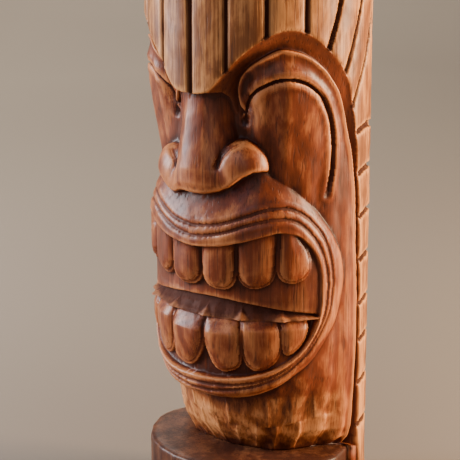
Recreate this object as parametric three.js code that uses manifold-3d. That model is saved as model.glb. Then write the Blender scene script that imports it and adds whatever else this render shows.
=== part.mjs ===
// Carved tiki head on a foot block: one timber carries hair, mask, mane and neck;
// the foot block is screwed and dowelled under the neck, with felt below.
// Millimetres, +Z up, the face looks along -Y, the log's axis is the Z axis.
import * as THREE from "three";
import { mergeVertices } from "three/addons/utils/BufferGeometryUtils.js";
import Module from "manifold-3d";

const wasm = await Module();
wasm.setup();

// Driving dimensions
const HEIGHT = 400;
const LOG_RADIUS = 66.5;
const GAP = 0.3;
const FELT_THICKNESS = 2;
const FOOT_TOP = 50;
const FOOT_RADIUS = LOG_RADIUS - 1;
const FOOT_REAR_RADIUS = FOOT_RADIUS - 5;
const FELT_RADIUS = FOOT_REAR_RADIUS - 1;
const FOOT_BACK = 12;
const FOOT_EDGE = 1.5;
const CROWN_ROUND = 7;
// How far a cutting shape runs past the face it cuts
const CLEAR = 5;

// Lag screws up through the foot block into the neck, and dowels that locate it
const SCREW = { x: 18, y: -4, shank: 4, length: 72, headAcross: 13, headHeight: 5.5 };
const WASHER = { radius: 11, bore: 4.6, thickness: 1.6 };
const COUNTERBORE = { radius: 13, depth: 14 };
const DOWEL = { x: 36, y: 2, radius: 5, low: 30, high: 70 };

// Carving lines: [degrees round the log from the nose, height], mirrored about the nose
const HAIRLINE = [
  [0, 270], [10.5, 272.5], [20.6, 285.5], [30.2, 296], [40, 304], [49.6, 307.5], [59.3, 306],
  [69, 299], [78.4, 289], [86, 278], [90.5, 265], [94.2, 249], [97.8, 225], [100.6, 195],
  [102.5, 165], [104, 130],
];
const EYE_GROOVE = [[29, 260], [40, 276], [50, 280], [60, 277.5], [71, 267], [78, 251], [80, 230], [78, 210]];
const MUZZLE = [
  [0, 214], [18, 218], [36, 227], [50, 221], [60, 214], [72, 202], [84, 183], [90.5, 162],
  [89, 143], [81, 126], [67.5, 108], [49.5, 95.5], [30, 88.5], [0, 86.8],
];
const MOUTH = [
  [0, 181.7], [20, 184.5], [40, 190.7], [50, 191.8], [60, 187.5], [67, 179], [71, 166], [71.4, 153],
  [69, 134], [58, 116.3], [48.6, 110], [38, 105.5], [20, 102], [0, 101.5],
];
const UPPER_TEETH = { low: [157, 158.5, 161.5], high: [186, 190, 186], edges: [0, 22.5, 45.5, 64.5] };
const LOWER_TEETH = { low: [107, 109, 119], high: [138, 139.5, 139.5], edges: [0, 24, 48, 63.6] };
const BESIDE_NOSE_CUTS = [
  [[20, 285], [20, HEIGHT]],
  [[40, 304], [40, HEIGHT]],
  [[60, 306.5], [60, HEIGHT]],
  [[73, 296], [80, 320], [83, HEIGHT]],
  [[84.8, 282], [97, 314], [103, 342], [105, HEIGHT]],
  [[91.3, 260], [106, 286], [117, 311], [124, 342], [127, HEIGHT]],
];
const NOSE_WING = { angle: 26, z: 233.5, radius: 54.5, across: 18.5, deep: 9.5, tall: 12.5 };
const MANE_TICKS = [
  [98, 245], [101.5, 219.7], [104, 193.4], [105.5, 166.6], [107, 139.8], [107.5, 117], [107.5, 90], [107.5, 63],
];
const TICK_SPAN = 24;

// Radii of the carved surfaces
const LIP_RADIUS = 64.3;
const TEETH_RADIUS = 60.5;
const MOUTH_FLOOR_RADIUS = 52;
const BURIED_RADIUS = 36;
const FACE_EDGE = 104;
const FRONT_RADII = [
  [400, 66], [300, 63], [278, 61.5], [255, 60], [231, 56.5], [204, 54], [185, 54.5],
  [110, 53], [92, 46.5], [75, 43.7], [63, 39.5], [56, 35], [50, 29.5], [0, 29.5],
];
const SIDE_RADII = [[400, 66], [290, 62.5], [240, 61], [120, 60], [92, 58.5], [80, 57], [63, 54], [50, 47], [0, 47]];
const MM_PER_DEGREE = (64 * Math.PI) / 180;

const { clamp, degToRad, lerp, mapLinear, smoothstep } = THREE.MathUtils;

// Value at a height from a list of [height, value] that runs downwards.
function atHeight(list, z) {
  const i = Math.max(1, list.findIndex(([height]) => height <= z));
  const [high, highValue] = list[i - 1];
  const [low, lowValue] = list[i];
  return mapLinear(clamp(z, low, high), low, high, lowValue, highValue);
}

// A smooth line through [degrees, height] points, as such points again.
function carvedLine(points, steps) {
  const knots = points.map(([degrees, z]) => new THREE.Vector2(degrees, z));
  return new THREE.SplineCurve(knots).getPoints(steps).map((p) => [p.x, p.y]);
}

// The full loop of a half outline that starts and ends at the nose line.
function mirrored(half) {
  const back = half.slice(1, -1).reverse().map(([degrees, z]) => [-degrees, z]);
  return [...half, ...back];
}

// Height of the hairline above the face at an angle.
const hairlinePath = carvedLine(HAIRLINE, 120);
function hairlineHeight(degrees) {
  const i = Math.max(1, hairlinePath.findIndex(([angle]) => angle >= degrees));
  const [a0, z0] = hairlinePath[i - 1];
  const [a1, z1] = hairlinePath[i];
  return mapLinear(clamp(degrees, a0, a1), a0, a1, z0, z1);
}

function distanceToHairline(degrees, z) {
  const gaps = hairlinePath.map(([a, h]) => Math.hypot((a - degrees) * MM_PER_DEGREE, h - z));
  const below = z < HAIRLINE.at(-1)[1] ? (FACE_EDGE - degrees) * MM_PER_DEGREE : Infinity;
  return Math.min(below, ...gaps);
}

// The face's own surface: bevelled in from the hairline, then the brow ring and the hollow below it.
function faceRadius(angle, z) {
  const degrees = Math.abs(angle);
  const field = lerp(atHeight(FRONT_RADII, z), atHeight(SIDE_RADII, z), smoothstep(degrees, 15, 95));
  const inside = distanceToHairline(degrees, z);
  const ring = 3.4 * Math.exp(-(((inside - 15) / 7) ** 2)) * smoothstep(degrees, 16, 30);
  return lerp(LOG_RADIUS + 0.6, field + ring, smoothstep(inside, 0, 8));
}

// Points on the log: the angle is measured from the nose towards +X.
function onLog(degrees, z, radius) {
  const t = degToRad(degrees);
  return [radius * Math.sin(t), -radius * Math.cos(t), z];
}

// A closed skin through rings of points, with a fan at each end.
function skinnedRings(rings) {
  const n = rings[0].length;
  const centres = [rings[0], rings.at(-1)].map((ring) =>
    [0, 1, 2].map((k) => ring.reduce((sum, point) => sum + point[k], 0) / n));
  const vertices = [...rings.flat(), ...centres];
  const low = rings.length * n;
  const triangles = [];
  for (let i = 0; i < n; i++) {
    const j = (i + 1) % n;
    triangles.push([low, j, i], [low + 1, low - n + i, low - n + j]);
    for (let k = 0; k < rings.length - 1; k++) {
      const a = k * n + i;
      const b = k * n + j;
      triangles.push([a, b, b + n], [a, b + n, a + n]);
    }
  }
  const geometry = new THREE.BufferGeometry();
  geometry.setAttribute("position", new THREE.Float32BufferAttribute(vertices.flat(), 3));
  geometry.setIndex(triangles.flat());
  return geometry;
}

// The closed mesh as a solid, turned outwards if its faces point in.
function solid(geometry) {
  const bare = new THREE.BufferGeometry();
  bare.setAttribute("position", geometry.getAttribute("position").clone());
  if (geometry.index) bare.setIndex(geometry.index.clone());
  const merged = mergeVertices(bare, 1e-4);
  const triVerts = new Uint32Array(merged.index.array);
  const vertProperties = new Float32Array(merged.getAttribute("position").array);
  const made = new wasm.Manifold(new wasm.Mesh({ numProp: 3, vertProperties, triVerts }));
  if (made.volume() > 0) return made;
  return new wasm.Manifold(new wasm.Mesh({ numProp: 3, vertProperties, triVerts: triVerts.toReversed() }));
}

function geometryFrom(manifold) {
  const mesh = manifold.getMesh();
  const geometry = new THREE.BufferGeometry();
  geometry.setAttribute("position", new THREE.BufferAttribute(mesh.vertProperties, 3));
  geometry.setIndex(new THREE.BufferAttribute(mesh.triVerts, 1));
  return geometry;
}

// A solid between outlines on the log, each given with the radius it lies at.
function layered(layers) {
  return solid(skinnedRings(layers.map(([outline, radius]) =>
    outline.map(([degrees, z]) => onLog(degrees, z, radius)))));
}

// What is carved away in front of the face, as a ring of points for each column of the face.
function faceWaste() {
  const outer = LOG_RADIUS + 12;
  const bottom = FELT_THICKNESS - 8;
  const belowHairline = [-6, -0.5, 4, 8, 12, 16, 20, 26];
  const neck = [88, 80, 72, 64, 57, FOOT_TOP, FOOT_TOP - 10, bottom];
  const steps = 10;
  const rings = [];
  for (let a = -FACE_EDGE; a <= FACE_EDGE; a += 4) {
    const top = hairlineHeight(Math.abs(a));
    const heights = belowHairline.map((depth) => top - depth);
    for (let k = 1; k < steps; k++) heights.push(lerp(heights[7], neck[0], k / steps));
    heights.push(...neck);
    const inner = heights.map((z, k) => onLog(a, z, k ? faceRadius(a, z) : LOG_RADIUS + 2));
    rings.push([...inner, onLog(a, bottom, outer), onLog(a, top + 6, outer)]);
  }
  return solid(skinnedRings(rings));
}

// A V-tool cut along [degrees, height] points, sunk below the surface it is made in.
function veeCut(points, surface = LOG_RADIUS, width = 3.4, depth = 3) {
  const place = points.map(([degrees, z]) => new THREE.Vector3(...onLog(degrees, z, surface + 2)));
  const rings = place.map((point, i) => {
    const ahead = place[Math.min(i + 1, place.length - 1)];
    const along = ahead.clone().sub(place[Math.max(i - 1, 0)]).normalize();
    const outward = new THREE.Vector3(point.x, point.y, 0).normalize();
    const across = along.clone().cross(outward).normalize().multiplyScalar(width * 0.8);
    const apex = point.clone().addScaledVector(outward, -(depth + 2));
    return [apex, point.clone().add(across), point.clone().sub(across)].map((p) => p.toArray());
  });
  return solid(skinnedRings(rings));
}

// Long cuts in the hair, strokes that fan out behind the brow, and short ticks down the mane.
function hairStrokes() {
  const strands = BESIDE_NOSE_CUTS.map((line) => [...line.slice(0, -1), [line.at(-1)[0], HEIGHT + CLEAR]]);
  const ticks = MANE_TICKS.map(([start, z]) => [[start, z], [start + TICK_SPAN / 2, z], [start + TICK_SPAN, z - 2]]);
  return [...strands, ...ticks];
}

function bothSides(make, points) {
  return [make(points), make(points.map(([degrees, z]) => [-degrees, z]))];
}

// The muzzle: a raised ring of lip round the open mouth.
function muzzleRaised() {
  const outline = carvedLine(MUZZLE, 24);
  const opening = carvedLine(MOUTH, 24);
  const between = (t) => mirrored(outline.map(([a, z], i) => [lerp(a, opening[i][0], t), lerp(z, opening[i][1], t)]));
  return layered([
    [between(0), BURIED_RADIUS], [between(0), 56], [between(0.08), 60],
    [between(0.3), 63], [between(0.6), LIP_RADIUS], [between(1), LIP_RADIUS - 0.5],
  ]);
}

function mouthWaste() {
  const opening = mirrored(carvedLine(MOUTH, 24));
  const floor = mirrored(carvedLine(MOUTH, 24).map(([a, z]) => [a * 0.97, lerp(z, 148, 0.04)]));
  return layered([[floor, MOUTH_FLOOR_RADIUS], [opening, LIP_RADIUS + 6]]);
}

// A tooth: a block with a rounded outline and a rounded face.
function tooth([left, right], [low, high]) {
  const middle = [(left + right) / 2, (low + high) / 2];
  const halfWidth = (right - left) / 2 - 0.6;
  const halfHeight = (high - low) / 2;
  const outline = (inset) => Array.from({ length: 12 }, (_, i) => {
    const t = ((i + 0.5) / 12) * 2 * Math.PI;
    const round = (v) => Math.sign(v) * Math.abs(v) ** 0.45;
    return [
      middle[0] + round(Math.cos(t)) * (halfWidth - inset / MM_PER_DEGREE),
      middle[1] + round(Math.sin(t)) * (halfHeight - inset),
    ];
  });
  return layered([
    [outline(0), MOUTH_FLOOR_RADIUS - 4], [outline(0), TEETH_RADIUS - 2.5],
    [outline(1), TEETH_RADIUS - 0.8], [outline(3.2), TEETH_RADIUS],
  ]);
}

function teeth(row) {
  const made = [];
  row.low.forEach((low, i) => {
    const span = [row.low[i], row.high[i]];
    made.push(tooth([row.edges[i], row.edges[i + 1]], span));
    made.push(tooth([-row.edges[i + 1], -row.edges[i]], span));
  });
  return made;
}

// The nose: a wedge from the brow down to a wide tip.
function noseBridge() {
  const slices = [
    // height, half width in degrees, ridge radius, edge radius
    [213, 14, 60, 56], [217, 22, 65, 58], [224, 24, 66.5, 58], [240, 21, 66, 57],
    [255, 21, 65, 53], [268, 22, 63.5, 52], [276, 20, 61, 52],
  ];
  const across = [-1, -0.75, -0.4, -0.12, 0.12, 0.4, 0.75, 1];
  const rings = slices.map(([z, halfWidth, ridge, edge]) => {
    const front = across.map((f) => onLog(f * halfWidth, z, lerp(ridge, edge, Math.abs(f) ** 1.3)));
    return [...front, onLog(halfWidth, z, BURIED_RADIUS), onLog(-halfWidth, z, BURIED_RADIUS)];
  });
  return solid(skinnedRings(rings));
}

function noseWing(side) {
  const wing = new THREE.SphereGeometry(1, 18, 12);
  const { angle, z, radius, across, deep, tall } = NOSE_WING;
  wing.scale(across, deep, tall);
  wing.rotateZ(degToRad(side * angle));
  wing.translate(...onLog(side * angle, z, radius));
  return solid(wing);
}

function roundLog() {
  const crown = Array.from({ length: 4 }, (_, i) => {
    const turn = (i / 3) * (Math.PI / 2);
    return [
      LOG_RADIUS - CROWN_ROUND * (1 - Math.cos(turn)),
      HEIGHT - CROWN_ROUND * (1 - Math.sin(turn)),
    ];
  });
  return solid(turned([[0, FELT_THICKNESS], [LOG_RADIUS, FELT_THICKNESS], ...crown, [0, HEIGHT]], 0, 0, 48));
}

function cylinder(radius, low, high, x = 0, y = 0, sides = 16) {
  const geometry = new THREE.CylinderGeometry(radius, radius, high - low, sides);
  geometry.rotateX(Math.PI / 2);
  geometry.translate(x, y, (low + high) / 2);
  return geometry;
}

// A lathe profile of [radius, height] points, turned about a vertical axis.
function turned(profile, x, y, sides = 16) {
  const geometry = new THREE.LatheGeometry(profile.map(([r, z]) => new THREE.Vector2(r, z)), sides);
  geometry.rotateX(Math.PI / 2);
  geometry.translate(x, y, 0);
  return geometry;
}

const SCREW_BASE = FELT_THICKNESS + COUNTERBORE.depth - WASHER.thickness - GAP;
const SCREW_TIP = SCREW_BASE + SCREW.length;

function screwShank(x, y, extra) {
  const r = SCREW.shank + extra;
  const taper = SCREW_TIP - 12;
  return turned([[0, SCREW_BASE], [r, SCREW_BASE], [r, taper], [0.4 + extra, SCREW_TIP + extra], [0, SCREW_TIP + extra]], x, y);
}

function lagScrew(x, y) {
  const head = cylinder(SCREW.headAcross / 2, SCREW_BASE - SCREW.headHeight, SCREW_BASE + 0.01, x, y, 6);
  return geometryFrom(solid(head).add(solid(screwShank(x, y, 0))));
}

function washer(x, y) {
  const { radius, bore, thickness } = WASHER;
  const low = SCREW_BASE + GAP / 2;
  const high = low + thickness;
  return turned([[bore, low], [radius, low], [radius, high], [bore, high], [bore, low]], x, y, 20);
}

function carvedLog() {
  let log = roundLog().subtract(faceWaste());
  const raised = [muzzleRaised(), noseBridge(), noseWing(-1), noseWing(1)];
  for (const piece of raised) log = log.add(piece);
  log = log.subtract(mouthWaste());
  for (const piece of [...teeth(UPPER_TEETH), ...teeth(LOWER_TEETH)]) log = log.add(piece);

  const seat = new THREE.BoxGeometry(200, 200, 100);
  seat.translate(0, FOOT_BACK + GAP - 100, FOOT_TOP + GAP - 50);
  const cuts = [solid(seat), veeCut([[0, 272], [0, HEIGHT + CLEAR]])];
  for (const stroke of hairStrokes()) cuts.push(...bothSides(veeCut, stroke));
  cuts.push(...bothSides((line) => veeCut(line, 61, 2.6, 2.4), carvedLine(EYE_GROOVE, 14)));
  for (const side of [-1, 1]) {
    cuts.push(solid(screwShank(side * SCREW.x, SCREW.y, GAP)));
    const top = DOWEL.high + GAP;
    cuts.push(solid(cylinder(DOWEL.radius + GAP, FOOT_TOP - CLEAR, top, side * DOWEL.x, DOWEL.y)));
  }
  for (const cut of cuts) log = log.subtract(cut);
  return geometryFrom(log);
}

// Plan of the foot block: round in front, drawn in towards the rear corners, flat behind.
function footOutline() {
  const corner = 90 + THREE.MathUtils.radToDeg(Math.asin(FOOT_BACK / FOOT_REAR_RADIUS));
  const steps = 44;
  const points = Array.from({ length: steps + 1 }, (_, i) => {
    const angle = lerp(-corner, corner, i / steps);
    const radius = lerp(FOOT_RADIUS, FOOT_REAR_RADIUS, smoothstep(Math.abs(angle), 76, corner));
    const [x, y] = onLog(angle, 0, radius);
    return new THREE.Vector2(x, y);
  });
  return new THREE.Shape(points);
}

function footBlock() {
  const plan = new THREE.ExtrudeGeometry(footOutline(), {
    depth: FOOT_TOP - FELT_THICKNESS - 2 * FOOT_EDGE,
    bevelEnabled: true,
    bevelThickness: FOOT_EDGE,
    bevelSize: FOOT_EDGE,
    bevelOffset: -FOOT_EDGE,
    bevelSegments: 2,
  });
  plan.translate(0, 0, FELT_THICKNESS + FOOT_EDGE);
  let block = solid(plan);
  for (const side of [-1, 1]) {
    const x = side * SCREW.x;
    block = block.subtract(solid(cylinder(COUNTERBORE.radius, 0, FELT_THICKNESS + COUNTERBORE.depth, x, SCREW.y, 20)));
    block = block.subtract(solid(cylinder(SCREW.shank + GAP, 0, FOOT_TOP + CLEAR, x, SCREW.y)));
    block = block.subtract(solid(cylinder(DOWEL.radius + GAP, DOWEL.low - GAP, FOOT_TOP + CLEAR, side * DOWEL.x, DOWEL.y)));
  }
  return geometryFrom(block);
}

const stainedTimber = { color: 0x9a5a2c, roughness: 0.42, metalness: 0 };
const darkTimber = { color: 0x4a2416, roughness: 0.4, metalness: 0 };
const paleTimber = { color: 0xc9a06a, roughness: 0.7, metalness: 0 };
const zincSteel = { color: 0xb4b6b8, roughness: 0.35, metalness: 1 };
const brownFelt = { color: 0x3a2a20, roughness: 0.95, metalness: 0 };

const tiki = new THREE.Group();

function place(name, geometry, finish) {
  const mesh = new THREE.Mesh(geometry, new THREE.MeshStandardMaterial(finish));
  mesh.name = name;
  tiki.add(mesh);
}

place("carved_log", carvedLog(), stainedTimber);
place("foot_block", footBlock(), darkTimber);
for (const [label, side] of [["left", -1], ["right", 1]]) {
  place(`lag_screw_${label}`, lagScrew(side * SCREW.x, SCREW.y), zincSteel);
  place(`washer_${label}`, washer(side * SCREW.x, SCREW.y), zincSteel);
  place(`dowel_${label}`, cylinder(DOWEL.radius, DOWEL.low, DOWEL.high, side * DOWEL.x, DOWEL.y), paleTimber);
}
place("felt_sheet", cylinder(FELT_RADIUS, 0, FELT_THICKNESS - GAP, 0, 0, 48), brownFelt);

export default tiki;
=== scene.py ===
"""A carved tiki head: one stained log with hair, mask, neck and mane, on a dark foot block."""

import math
from functools import partial

import bpy
import numpy as np
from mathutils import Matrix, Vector


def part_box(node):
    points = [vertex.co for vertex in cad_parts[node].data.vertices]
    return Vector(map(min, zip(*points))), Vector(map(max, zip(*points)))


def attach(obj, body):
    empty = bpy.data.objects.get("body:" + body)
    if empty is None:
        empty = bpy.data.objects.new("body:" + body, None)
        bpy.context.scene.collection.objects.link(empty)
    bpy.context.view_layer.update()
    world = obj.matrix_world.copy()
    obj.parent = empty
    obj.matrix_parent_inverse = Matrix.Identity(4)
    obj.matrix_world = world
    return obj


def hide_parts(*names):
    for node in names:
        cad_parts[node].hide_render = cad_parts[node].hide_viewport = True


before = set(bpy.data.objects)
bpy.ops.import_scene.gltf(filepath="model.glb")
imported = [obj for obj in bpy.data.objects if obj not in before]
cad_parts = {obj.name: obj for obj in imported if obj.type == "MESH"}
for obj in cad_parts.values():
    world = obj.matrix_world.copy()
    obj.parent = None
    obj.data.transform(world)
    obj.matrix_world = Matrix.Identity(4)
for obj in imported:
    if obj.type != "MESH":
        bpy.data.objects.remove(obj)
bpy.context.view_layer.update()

MM = 0.001
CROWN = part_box("carved_log")[1][2] / MM
LOG_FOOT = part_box("carved_log")[0][2] / MM
LOG_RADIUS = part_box("carved_log")[1][0] / MM
FOOT_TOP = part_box("foot_block")[1][2] / MM
FOOT_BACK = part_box("foot_block")[1][1] / MM
FOOT_RADIUS = -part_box("foot_block")[0][1] / MM
FOOT_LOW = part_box("foot_block")[0][2] / MM
JOINT_GAP = 0.3

HAIR_RADIUS = LOG_RADIUS
MANE_RADIUS = LOG_RADIUS - 0.5
CROWN_ROUND = 7.0
MM_PER_DEGREE = math.radians(64.0)
MOUTH_MIDDLE = 150
SHELF_FOOT = 138.5
CROWN_SHARES = (0.06, 0.25, 0.45, 0.62, 0.76, 0.86, 0.93)
SLAB_ROWS = 34
LOG_TRIANGLES = 196_000
NECK_SHARE = 0.72
SCREW_HEAD_HEIGHT = 5.5

# Stain in the tool cuts and painted shade on the shelf of the mouth, and stain in open pores
CUT_STAIN_AND_SHELF_SHADE = (0.042, 0.0095, 0.0037)
PORE_STAIN = (0.02, 0.007, 0.003)

# Carving lines, as (degrees round the log from the nose, height in millimetres).
HAIRLINE = [
    (0, 270), (10.5, 272.5), (20.6, 285.5), (30.2, 296), (40, 304), (49.6, 307.5), (59.3, 306),
    (69, 299), (78.4, 289), (86, 278), (90.5, 265), (94.2, 249), (97.8, 225), (100.6, 195),
    (102.5, 165), (104, 130), (104.5, 100), (104.5, 20),
]
BROW_EDGE = [
    (27.3, 259.6), (24.6, 263.3), (23.3, 268), (23.3, 273.6), (25.5, 280.3), (29.9, 286.1), (36.8, 291.8),
    (45, 296.3), (50, 297), (60, 294), (70, 286.5), (78, 276.5), (83, 268), (87.5, 256), (90, 247),
    (93.5, 233), (96, 219), (98.2, 203), (99.5, 185), (101, 165), (102.2, 140), (102.4, 110), (102, 20),
]
NOSE_ROOT = [(0, 271.5), (16, 271.5), (19, 268), (21.5, 261), (25.5, 255.5)]
EYE_GROOVE = [
    (28, 254.5), (29, 261), (31.3, 268), (35.5, 273.3), (40.5, 276.6), (45.6, 278.9), (50.4, 279.7),
    (55.5, 279), (60.7, 277), (66, 273), (71.2, 267), (76.5, 256.5), (79, 247), (80.3, 236), (80, 224),
    (78, 210),
]
MUZZLE_EDGE = [
    (0, 214), (15, 217), (28, 224), (38, 227.5), (45, 223.5), (52, 220), (60, 214), (66, 208.5),
    (72, 202), (78.5, 193), (84.1, 183), (88.9, 172.9), (90.5, 162.4), (90.7, 154.2), (88.8, 142.4),
    (85.9, 134), (81, 126), (75.2, 116.9), (67.4, 108), (59.1, 102), (49.4, 95.5), (39.6, 91.2),
    (29.8, 88.5), (19.5, 87.1), (8.7, 86.6), (0, 86.8),
]
LIP_LINE_OUTER = [
    (0, 193.3), (10.9, 194.8), (18.2, 196.7), (30.4, 201.3), (38.8, 204.4), (47.3, 205.4), (54.3, 204.3),
    (61.7, 200.4), (68.6, 193.6), (74.1, 184.7), (77.7, 174.1), (79.4, 163.7), (79.5, 153.6),
    (77.7, 141.9), (73.8, 132.7), (67.6, 121.2), (60, 112.5), (50.6, 105), (39.4, 100), (30, 97.2),
    (16.3, 94.5), (4.5, 93.1), (0, 93),
]
LIP_LINE_INNER = [
    (0, 187.5), (10, 189), (20, 192), (30, 196), (40, 198.8), (50, 199.2), (57, 197), (63, 191.8),
    (69, 183.5), (73.5, 173), (75.3, 163), (75.5, 153), (73.8, 140.5), (69.5, 129), (62.5, 117.5),
    (54, 110), (46, 105.3), (38, 102), (28, 99.6), (15, 97.9), (0, 97.3),
]
MOUTH_EDGE = [
    (0, 181.7), (6.1, 182.3), (16.5, 183.8), (25.3, 186), (33.8, 188.8), (41.4, 191), (47.3, 192),
    (56.2, 190.3), (63.8, 183.5), (68.9, 174.8), (71.1, 165.4), (71.5, 155.3), (71.4, 145.3),
    (69.9, 136.5), (65.5, 125.6), (58, 116.3), (48.6, 109.9), (39.4, 106.1), (30.2, 103.4), (20.6, 102),
    (8.4, 101.3), (0, 101.5),
]
NOSE_CREASE = [(12.9, 228.5), (14.2, 233.8), (16.9, 239.2), (20.7, 243.6), (26.1, 246.8)]
NOSE_FOOT = [
    (0, 213), (6.2, 213.3), (14.5, 215.2), (19.7, 217.8), (23.5, 221.2), (27.4, 224.6), (33.1, 227.6),
    (38.1, 228), (44, 227.6),
]
UPPER_TEETH = [
    [(0.7, 200), (0.6, 170), (1.8, 162), (5, 158.3), (9, 157), (15.5, 157), (19.5, 159.5), (21.5, 165),
     (22.2, 180), (22.2, 200)],
    [(23.3, 200), (23, 172), (24, 164.4), (27.4, 160), (32, 158.3), (38.2, 159.3), (42.8, 162.7),
     (44.7, 167.6), (45.4, 175.4), (45.2, 200)],
    [(47.6, 200), (46.5, 176), (46.7, 168), (49.2, 163.3), (54, 161.6), (59.6, 162.8), (63.1, 166.3),
     (64.6, 170.5), (63.8, 177), (61.2, 183.5), (58, 189), (56, 200)],
]
LOWER_TEETH = [
    [(0.5, 134), (0.4, 129), (1.3, 122.5), (4.6, 114), (9, 108.2), (15, 107), (22, 109.9), (24, 115.1),
     (24, 127.2), (23.6, 134), (22, 139), (2, 139)],
    [(24.8, 134.4), (25.1, 121.2), (27.3, 113.2), (32, 108.8), (37.8, 108.8), (44.5, 113.2), (48, 121.1),
     (47.9, 130.2), (46.5, 135.5), (44, 140), (27, 140)],
    [(49, 135.7), (49.3, 127.6), (50.3, 119.4), (54, 118.5), (60, 123.4), (63.1, 130), (63.6, 136),
     (59, 140), (51, 140)],
]

# Radii of the face's ground at heights down the log, for each angle from the nose.
FACE_ANGLES = [0, 25, 40, 53, 70, 85, 97, 104]
FACE_GROUND = [
    (320, [64, 64, 64, 64, 64, 64, 64, 64]),
    (296, [63, 62, 63, 63.8, 64, 64, 64, 64]),
    (284, [61, 58, 62.8, 65, 64.6, 64, 64, 64]),
    (270, [57, 53.5, 61, 64.2, 64.2, 64, 64, 64]),
    (258, [56, 51.5, 59, 62.6, 63, 63.2, 64, 64]),
    (245, [55, 51.5, 56.5, 60.3, 61.5, 62.5, 64.2, 64]),
    (230, [54, 51.5, 54, 57.6, 59.5, 61.8, 64.2, 64]),
    (215, [54, 52, 53, 55.3, 58, 61.2, 64, 64]),
    (200, [54, 53, 53.5, 54.3, 57, 60.5, 63.6, 64]),
    (180, [54, 54, 54, 54.5, 57, 60, 63.2, 64]),
    (150, [54, 54, 54.5, 55.5, 58, 60, 63, 64]),
    (120, [53, 53, 54, 55.5, 58, 60, 62.8, 63.7]),
    (100, [50, 50.5, 51.5, 53, 56, 58.7, 62.3, 63.5]),
    (88, [45.5, 46, 47, 48.8, 52.5, 57, 61.4, 63]),
    (75, [43, 43.5, 44.5, 46.3, 49.3, 54.5, 60.5, 62.5]),
    (63, [38.5, 39, 41, 43.5, 47, 52.5, 59.5, 62]),
    (56, [33.5, 34, 36.5, 39.8, 43, 47.5, 57, 60.8]),
    (50, [28.6, 29.6, 33, 37.7, 40.5, 43.5, 50.5, 57.5]),
    (0, [28.6, 29.6, 33, 37.7, 40.5, 43.5, 50.5, 57.5]),
]
LIP_CREST = [(230, 64), (186, 64.4), (135, 64.4), (122, 62.6), (110, 60.6), (100, 59.4), (80, 58.5)]
LIP_OUTSIDE = [
    (230, 54.5), (216, 55), (200, 58), (185, 61.2), (160, 62.4), (130, 60.8), (110, 57.8), (95, 55.8),
    (80, 54),
]
NOSE_RIDGE = [
    (290, 59), (272, 60.5), (262, 61.5), (250, 63), (240, 64.5), (230, 66), (222, 66), (214, 64), (200, 62),
]


def ease(x, low, high):
    """0 below low, 1 above high, smooth between."""
    t = np.clip((x - low) / (high - low), 0, 1)
    return t * t * (3 - 2 * t)


def mix(a, b, t):
    return a + (b - a) * t


def dome(x, width):
    """A quarter-round edge: 0 at the edge, 1 from width inwards."""
    t = 1 - np.clip(x / width, 0, 1)
    return np.sqrt(np.clip(1 - t * t, 0, 1))


def ridge(x, width):
    """1 on the line itself, falling to 0 at about twice the width."""
    return np.exp(-((x / width) ** 2))


def by_height(pairs, z):
    heights, values = zip(*sorted(pairs))
    return np.interp(z, heights, values)


def flowing(points, steps=6):
    """A smooth line through the points, as millimetres on the unrolled log."""
    p = np.array(points, float) * (MM_PER_DEGREE, 1)
    p = np.vstack([2 * p[0] - p[1], p, 2 * p[-1] - p[-2]])
    t = np.linspace(0, 1, steps, endpoint=False)[:, None]
    out = []
    for a, b, c, d in zip(p, p[1:], p[2:], p[3:]):
        bend, twist = 2 * a - 5 * b + 4 * c - d, 3 * b - a - 3 * c + d
        out.append(0.5 * (2 * b + (c - a) * t + bend * t**2 + twist * t**3))
    return np.vstack(out + [p[-2][None]])


def straight(points):
    return np.array(points, float) * (MM_PER_DEGREE, 1)


def away(line, x, z, reach=None):
    """Distance to a line; beyond reach it is only known to be larger."""
    far = 1e3 if reach is None else reach
    found = np.full(x.shape, far)
    near = np.ones(x.shape, bool)
    if reach is not None:
        low, high = line.min(0) - reach, line.max(0) + reach
        near = (x > low[0]) & (x < high[0]) & (z > low[1]) & (z < high[1])
    px, pz = x[near], z[near]
    best = np.full(px.shape, far)
    for (ax, az), (bx, bz) in zip(line[:-1], line[1:]):
        dx, dz = bx - ax, bz - az
        t = np.clip(((px - ax) * dx + (pz - az) * dz) / (dx * dx + dz * dz + 1e-9), 0, 1)
        best = np.minimum(best, np.hypot(px - ax - t * dx, pz - az - t * dz))
    found[near] = best
    return found


def within(line, x, z):
    """Whether a point lies inside a closed outline."""
    found = np.zeros(x.shape, bool)
    for (ax, az), (bx, bz) in zip(line, np.roll(line, -1, 0)):
        if az == bz:
            continue
        crosses = (az > z) != (bz > z)
        found ^= crosses & (x < (bx - ax) * (z - az) / (bz - az) + ax)
    return found


def inset(line, x, z, reach=None):
    """Distance inside a closed outline, negative outside it."""
    closed = np.vstack([line, line[:1]])
    return away(closed, x, z, reach) * np.where(within(line, x, z), 1, -1)


def half_inset(line, x, z):
    """The same for half an outline that mirrors about the nose."""
    return away(line, x, z) * np.where(within(line, x, z), 1, -1)


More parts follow.
